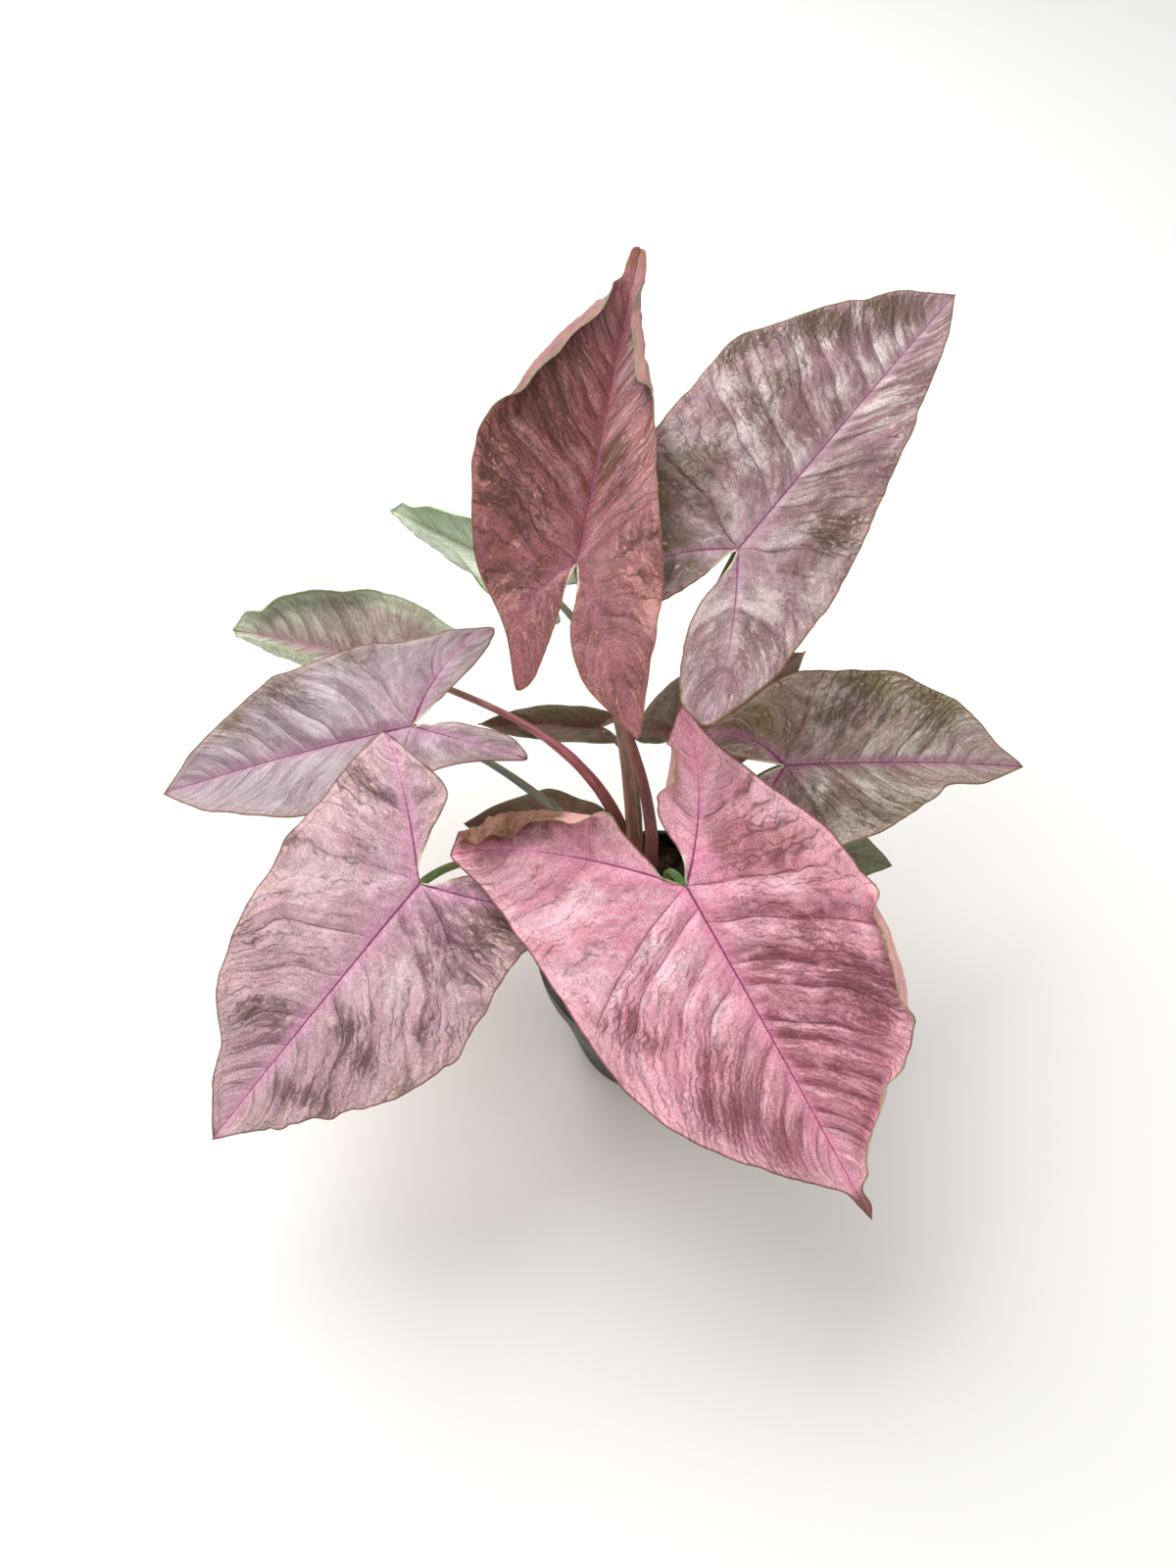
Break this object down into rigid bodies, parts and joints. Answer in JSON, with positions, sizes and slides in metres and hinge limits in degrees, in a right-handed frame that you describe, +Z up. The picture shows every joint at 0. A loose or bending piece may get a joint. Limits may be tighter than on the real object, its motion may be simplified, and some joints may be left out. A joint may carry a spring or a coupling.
{
  "type": "potted arrowhead plant",
  "caption": "Potted arrowhead plant: waved arrow-shaped leaf blades on long stalks rising from soil in a round nursery pot.",
  "frame": {"origin": "centre of the pot's flat base, on the surface it stands on", "axes": "+Z up out of the pot, the front of the plant faces -Y, +X to the viewer's right"},
  "size_m": [0.3604, 0.346, 0.2679],
  "materials": {
    "pot_black": "satin",
    "soil_peat": "matte",
    "stalk_green": "satin",
    "blade_rose": "satin",
    "blade_mauve": "satin",
    "blade_dusk": "satin",
    "blade_olive": "satin",
    "blade_mint": "satin",
    "blade_green": "satin"
  },
  "bodies": {
    "root": {"pot": "pot_black", "soil": "soil_peat", "stem_front": "stalk_green", "stem_back_right": "stalk_green", "stem_back_left": "stalk_green", "leaf_front_right": "blade_rose", "leaf_front_left": "blade_mauve", "leaf_back_centre": "blade_dusk", "leaf_back_right": "blade_olive", "leaf_right": "blade_olive", "leaf_left": "blade_mauve", "leaf_back_left": "blade_mint", "leaf_young": "blade_mint", "leaf_right_low": "blade_green", "leaf_behind": "blade_dusk", "leaf_inner": "blade_dusk", "leaf_low_left": "blade_green"}
  },
  "joints": []
}
